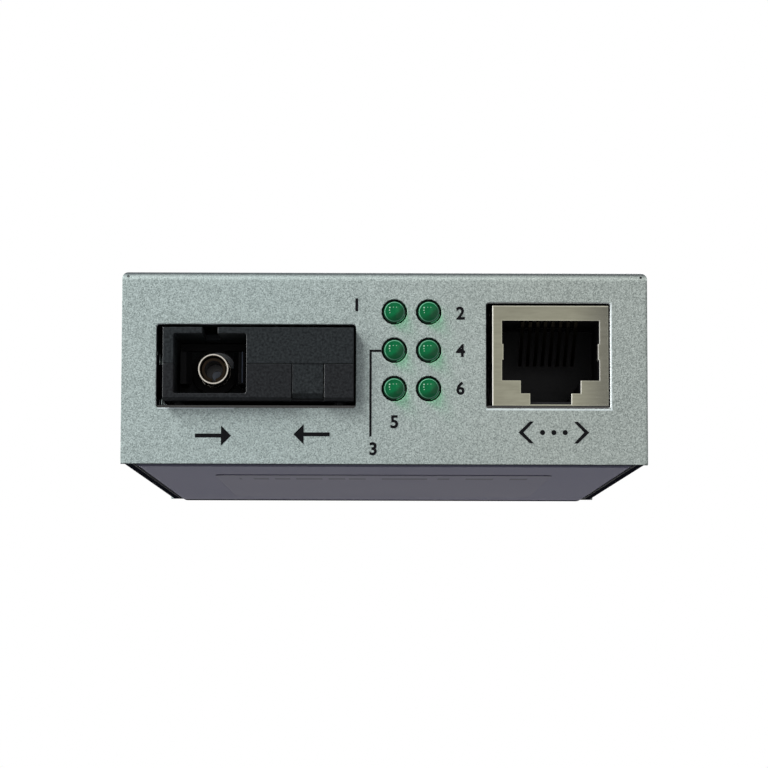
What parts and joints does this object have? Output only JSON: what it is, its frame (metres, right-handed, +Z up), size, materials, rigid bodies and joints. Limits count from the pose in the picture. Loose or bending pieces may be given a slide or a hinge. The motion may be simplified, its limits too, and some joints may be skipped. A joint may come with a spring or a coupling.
{
  "type": "fibre media converter",
  "caption": "Small folded steel box that converts a fibre link to a copper network link, with a fibre port, a copper socket and indicator lights in front and a power inlet behind.",
  "frame": {"origin": "centre of the underside's plan, on the face that the case stands on", "axes": "+X right as seen from the front, +Y from the front panel to the rear, +Z up; the front faces -Y"},
  "size_m": [0.07, 0.0954, 0.0261],
  "materials": {
    "cover_paint": "fine powder coat, satin",
    "tray_paint": "fine powder coat, satin",
    "label": "plain film",
    "screw_steel": "zinc plated",
    "brass_standoff": "turned",
    "board": "solder mask",
    "shell_plastic": "moulded, fine texture",
    "insert_plastic": "moulded",
    "sleeve_metal": "turned and plated",
    "bronze": "spring bronze",
    "ceramic": "ground ceramic",
    "gold_metal": "gold plated",
    "shield_nickel": "nickel plated sheet",
    "jack_plastic": "moulded",
    "tin": "tinned wire",
    "led_green": "tinted clear resin",
    "package": "moulded resin",
    "can_aluminium": "drawn can",
    "ferrite": "ferrite",
    "copper_wire": "enamelled wire",
    "component_body": "ceramic body"
  },
  "bodies": {
    "root": {"top_cover": "cover_paint", "base_tray": "tray_paint", "base_label": "label", "case_screws": "screw_steel", "board_standoffs": "brass_standoff", "board_screws": "screw_steel", "circuit_board": "board", "transceiver_upper_shell": "shell_plastic", "transceiver_lower_shell": "shell_plastic", "latch_insert": "insert_plastic", "sleeve_holder": "sleeve_metal", "split_sleeve": "bronze", "fibre_stub": "ceramic", "optical_block": "gold_metal", "laser_can": "gold_metal", "detector_can": "gold_metal", "transceiver_board": "board", "driver_chip": "package", "transceiver_pins": "tin", "transceiver_posts": "tin", "jack_shield": "shield_nickel", "jack_housing": "jack_plastic", "contact_carrier": "jack_plastic", "jack_contacts": "gold_metal", "led_holder": "jack_plastic", "led_leads": "tin", "inlet_housing": "jack_plastic", "inlet_pin": "tin", "inlet_spring": "tin", "converter_chip": "package", "chip_legs": "tin", "line_transformer": "package", "transformer_legs": "tin", "crystal_can": "can_aluminium", "voltage_regulator": "package", "regulator_leads": "tin", "supply_coil_core": "ferrite", "supply_coil_winding": "copper_wire", "chip_components": "component_body", "supply_capacitor_1": "can_aluminium", "supply_capacitor_2": "can_aluminium", "led_1": "led_green", "led_2": "led_green", "led_3": "led_green", "led_4": "led_green", "led_5": "led_green", "led_6": "led_green"}
  },
  "joints": []
}
